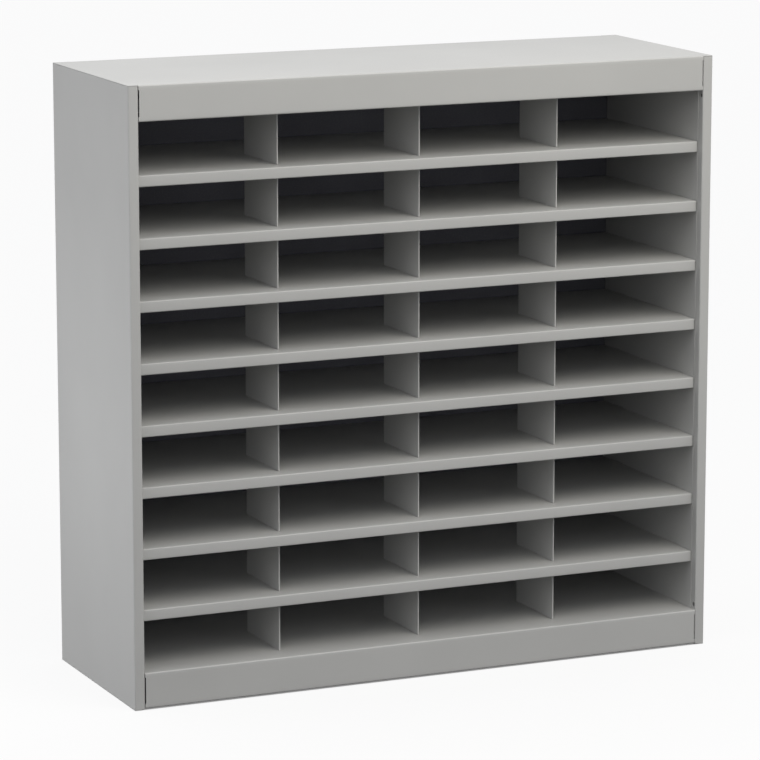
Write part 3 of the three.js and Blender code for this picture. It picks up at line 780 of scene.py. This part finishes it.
def charcoal_board(main, fibre, grain):
    """Coated hardboard: short pressed fibres show through an uneven matt coat. Its dark charcoal colour is
    painted shade, standing in for the shade at the back of the deep compartments.
    """
    tree, shader = new_material("charcoal_board")
    fibres = object_noise(tree, grain.fibre, detail=5.0, roughness=0.7)
    flecks = remap(tree, fibres, start=0.48, end=0.75)
    tree.links.new(blend_colours(tree, flecks, main, fibre), shader.inputs["Base Color"])
    gloss = remap(tree, object_noise(tree, grain.coat, detail=3.0), low=0.74, high=0.88)
    tree.links.new(gloss, shader.inputs["Roughness"])
    pits = relief(tree, object_noise(tree, grain.pressing, detail=4.0), grain.pressing_depth)
    tree.links.new(pits, shader.inputs["Normal"])


def drawn_aluminium(main, mark, grain):
    """Plain aluminium with faint handling marks."""
    tree, shader = new_material("drawn_aluminium")
    marks = remap(tree, object_noise(tree, grain.mark, detail=3.0))
    tree.links.new(blend_colours(tree, marks, main, mark), shader.inputs["Base Color"])
    polish = remap(tree, object_noise(tree, grain.scuff), low=0.28, high=0.42)
    tree.links.new(polish, shader.inputs["Roughness"])
    shader.inputs["Metallic"].default_value = 1.0


# Studio

def calculate(tree, operation, first, second):
    """A Math node of two values, each a number or another node's output."""
    node = add_node(tree, "ShaderNodeMath", operation=operation)
    for socket, value in zip(node.inputs, (first, second)):
        if isinstance(value, bpy.types.NodeSocket):
            tree.links.new(value, socket)
        else:
            socket.default_value = value
    return node.outputs[0]


def seen_rays(tree):
    """1 for rays that show the background: camera, mirror and glass."""
    path = add_node(tree, "ShaderNodeLightPath")
    seen = path.outputs["Is Camera Ray"]
    for name in ("Is Glossy Ray", "Is Transmission Ray"):
        seen = calculate(tree, "MAXIMUM", seen, path.outputs[name])
    return seen


def mix_shaders(tree, share, first, second):
    """The first shader where the share is 0, the second where it is 1."""
    node = add_node(tree, "ShaderNodeMixShader")
    tree.links.new(share, node.inputs[0])
    tree.links.new(first, node.inputs[1])
    tree.links.new(second, node.inputs[2])
    return node.outputs[0]


def floor_whiteness(tree, studio):
    """Share of white in the floor: high in the open, low under the base's front as painted light over the
    shadow there, none further under.
    """
    place = add_node(tree, "ShaderNodeTexCoord")
    parts = add_node(tree, "ShaderNodeSeparateXYZ")
    tree.links.new(place.outputs["Object"], parts.inputs["Vector"])
    middle, half = (LOW + HIGH) / 2, (HIGH - LOW) / 2
    outside = []
    for axis in (X, Y):
        beside = calculate(tree, "SUBTRACT", parts.outputs[axis], middle[axis])
        away = calculate(tree, "ABSOLUTE", beside, 0.0)
        outside.append(calculate(tree, "GREATER_THAN", away, half[axis]))
    open_floor = calculate(tree, "MULTIPLY", calculate(tree, "MAXIMUM", *outside), studio.floor_white)
    # Painted light: a strip of plain white over the shadow under the base's front.
    painted_light_toe = calculate(tree, "LESS_THAN", parts.outputs[Y], LOW.y + studio.painted_light_toe_depth)
    return calculate(tree, "MAXIMUM", open_floor, calculate(tree, "MULTIPLY", painted_light_toe, studio.painted_light_toe_share))


def floor_finish(pale, studio):
    """Pale floor that is seen close to white, keeps the shadow and throws back little light."""
    material = bpy.data.materials.new("studio_floor")
    material.use_nodes = True
    tree = material.node_tree
    tree.nodes.clear()
    seen_floor = add_node(tree, "ShaderNodeBsdfDiffuse", {"Color": (*pale, 1)})
    white = add_node(tree, "ShaderNodeEmission", {"Color": WHITE, "Strength": 1.0})
    shown = mix_shaders(tree, floor_whiteness(tree, studio), seen_floor.outputs[0], white.outputs[0])
    dim = tuple(studio.floor_bounce * part for part in pale)
    lighting_floor = add_node(tree, "ShaderNodeBsdfDiffuse", {"Color": (*dim, 1)})
    out = add_node(tree, "ShaderNodeOutputMaterial")
    surface = mix_shaders(tree, seen_rays(tree), lighting_floor.outputs[0], shown)
    tree.links.new(surface, out.inputs["Surface"])
    return material


def studio_world(studio):
    """Even light from all round, seen as white."""
    world = bpy.data.worlds.new("studio")
    world.use_nodes = True
    tree = world.node_tree
    tree.nodes.clear()
    even = add_node(
        tree, "ShaderNodeBackground", {"Color": (*studio.ambient_tint, 1), "Strength": studio.ambient})
    white = add_node(tree, "ShaderNodeBackground", {"Color": WHITE, "Strength": studio.sky_white})
    out = add_node(tree, "ShaderNodeOutputWorld")
    surface = mix_shaders(tree, seen_rays(tree), even.outputs[0], white.outputs[0])
    tree.links.new(surface, out.inputs["Surface"])
    return world


def lay_floor(pale, studio):
    """A square floor just under the object."""
    bm = bmesh.new()
    bmesh.ops.create_grid(bm, x_segments=1, y_segments=1, size=studio.floor_span / 2)
    bmesh.ops.translate(bm, verts=bm.verts, vec=(0, 0, -TOUCH))
    mesh = bpy.data.meshes.new("studio_floor")
    bm.to_mesh(mesh)
    bm.free()
    mesh.materials.append(floor_finish(pale, studio))
    floor = bpy.data.objects.new("studio_floor", mesh)
    bpy.context.scene.collection.objects.link(floor)


def add_softbox(name, studio):
    """A square lamp that looks at the middle of the object."""
    lamp = bpy.data.lights.new(name, "AREA")
    lamp.size = getattr(studio, f"{name}_size")
    lamp.energy = getattr(studio, f"{name}_power")
    lamp.color = getattr(studio, f"{name}_tint")
    softbox = bpy.data.objects.new(name, lamp)
    softbox.location = getattr(studio, f"{name}_place")
    aim = (LOW + HIGH) / 2 - softbox.location
    softbox.rotation_euler = aim.to_track_quat("-Z", "Y").to_euler()
    bpy.context.scene.collection.objects.link(softbox)


def add_camera(studio):
    """The camera at the place and angle of the view."""
    view = bpy.data.cameras.new("camera")
    view.lens = studio.lens
    view.sensor_width = SENSOR
    camera = bpy.data.objects.new("camera", view)
    camera.location = studio.eye
    camera.rotation_euler = (math.pi / 2 - studio.pitch, 0, -studio.yaw)
    bpy.context.scene.collection.objects.link(camera)
    bpy.context.scene.camera = camera


# Steps of the finish, and the panel that lists them

class SORTER_OT_finishes(bpy.types.Operator):
    """Mix the paint, the board's coat and the rivets' metal"""

    bl_idname = "sorter.finishes"
    bl_label = "Finishes"

    def execute(self, context):
        colours = context.scene.sorter_colours
        grain = context.scene.sorter_grain
        powder_coat("powder_coat", colours.paint, colours.paint_shade, grain)
        # Lighter coat of the cut edges: thin paint and a painted highlight.
        powder_coat("powder_coat_edge", colours.paint_edge_and_highlight, colours.paint, grain)
        charcoal_board(colours.board, colours.board_fibre, grain)
        drawn_aluminium(colours.rivet, colours.rivet_mark, grain)
        return {"FINISHED"}


class SORTER_OT_side_panels(bpy.types.Operator):
    """Fold the outer pans of the sides"""

    bl_idname = "sorter.side_panels"
    bl_label = "Side panels"

    def execute(self, context):
        sizes = context.scene.sorter_sizes
        plan = Plan(sizes)
        for hand, side in SIDES.items():
            side_panel(hand, side, sizes, plan)
        return {"FINISHED"}


class SORTER_OT_side_liners(bpy.types.Operator):
    """Fold the inner walls of the sides"""

    bl_idname = "sorter.side_liners"
    bl_label = "Side liners"

    def execute(self, context):
        sizes = context.scene.sorter_sizes
        plan = Plan(sizes)
        for hand, side in SIDES.items():
            side_liner(hand, side, sizes, plan)
        return {"FINISHED"}


class SORTER_OT_top_panel(bpy.types.Operator):
    """Fold the top with its apron"""

    bl_idname = "sorter.top_panel"
    bl_label = "Top panel"

    def execute(self, context):
        sizes = context.scene.sorter_sizes
        top_panel(sizes, Plan(sizes))
        return {"FINISHED"}


class SORTER_OT_top_liner(bpy.types.Operator):
    """Fold the ceiling of the top row"""

    bl_idname = "sorter.top_liner"
    bl_label = "Top liner"

    def execute(self, context):
        sizes = context.scene.sorter_sizes
        top_liner(sizes, Plan(sizes))
        return {"FINISHED"}


class SORTER_OT_base_panel(bpy.types.Operator):
    """Fold the base with its kick apron"""

    bl_idname = "sorter.base_panel"
    bl_label = "Base panel"

    def execute(self, context):
        sizes = context.scene.sorter_sizes
        base_panel(sizes, Plan(sizes))
        return {"FINISHED"}


class SORTER_OT_shelves(bpy.types.Operator):
    """Fold the shelves and hook them into the sides"""

    bl_idname = "sorter.shelves"
    bl_label = "Shelves"

    def execute(self, context):
        sizes = context.scene.sorter_sizes
        plan = Plan(sizes)
        for node in nodes_like("shelf_"):
            shelf(node, sizes, plan)
        return {"FINISHED"}


class SORTER_OT_dividers(bpy.types.Operator):
    """Hem the dividers and tab them into the decks"""

    bl_idname = "sorter.dividers"
    bl_label = "Dividers"

    def execute(self, context):
        sizes = context.scene.sorter_sizes
        plan = Plan(sizes)
        for node in nodes_like("divider_"):
            divider(node, sizes, plan)
        return {"FINISHED"}


class SORTER_OT_back_board(bpy.types.Operator):
    """Cut and drill the back board"""

    bl_idname = "sorter.back_board"
    bl_label = "Back board"

    def execute(self, context):
        sizes = context.scene.sorter_sizes
        back_board(sizes)
        return {"FINISHED"}


class SORTER_OT_rivets(bpy.types.Operator):
    """Set the rivets of the back board"""

    bl_idname = "sorter.rivets"
    bl_label = "Rivets"

    def execute(self, context):
        sizes = context.scene.sorter_sizes
        for node in nodes_like("rivet_"):
            rivet(node, sizes)
        return {"FINISHED"}


class SORTER_OT_stage(bpy.types.Operator):
    """Lay the floor and set up the light and the camera"""

    bl_idname = "sorter.stage"
    bl_label = "Studio"

    def execute(self, context):
        scene = context.scene
        studio = scene.sorter_studio
        scene.view_settings.view_transform = "Standard"
        scene.world = studio_world(studio)
        lay_floor(scene.sorter_colours.floor, studio)
        for name in ("key", "fill", "overhead"):
            add_softbox(name, studio)
        add_camera(studio)
        return {"FINISHED"}


class SORTER_PT_panel(bpy.types.Panel):
    """Steps of the sorter's finish"""

    bl_idname = "SORTER_PT_panel"
    bl_label = "Mail sorter"
    bl_space_type = "VIEW_3D"
    bl_region_type = "UI"
    bl_category = "Sorter"

    def draw(self, context):
        for operator in OPERATORS:
            self.layout.operator(operator.bl_idname)


GROUPS = {
    "sorter_sizes": SorterSizes,
    "sorter_colours": SorterColours,
    "sorter_grain": SorterGrain,
    "sorter_studio": SorterStudio,
}
OPERATORS = (
    SORTER_OT_finishes,
    SORTER_OT_side_panels,
    SORTER_OT_side_liners,
    SORTER_OT_top_panel,
    SORTER_OT_top_liner,
    SORTER_OT_base_panel,
    SORTER_OT_shelves,
    SORTER_OT_dividers,
    SORTER_OT_back_board,
    SORTER_OT_rivets,
    SORTER_OT_stage,
)


def register():
    for kind in (*GROUPS.values(), *OPERATORS, SORTER_PT_panel):
        bpy.utils.register_class(kind)
    for name, group in GROUPS.items():
        setattr(bpy.types.Scene, name, bpy.props.PointerProperty(type=group))


def unregister():
    for name in GROUPS:
        delattr(bpy.types.Scene, name)
    for kind in (SORTER_PT_panel, *reversed(OPERATORS), *GROUPS.values()):
        bpy.utils.unregister_class(kind)


def main():
    """Runs every step."""
    register()
    bpy.ops.sorter.finishes()
    bpy.ops.sorter.side_panels()
    bpy.ops.sorter.side_liners()
    bpy.ops.sorter.top_panel()
    bpy.ops.sorter.top_liner()
    bpy.ops.sorter.base_panel()
    bpy.ops.sorter.shelves()
    bpy.ops.sorter.dividers()
    bpy.ops.sorter.back_board()
    bpy.ops.sorter.rivets()
    bpy.ops.sorter.stage()
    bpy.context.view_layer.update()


if __name__ == "__main__":
    main()
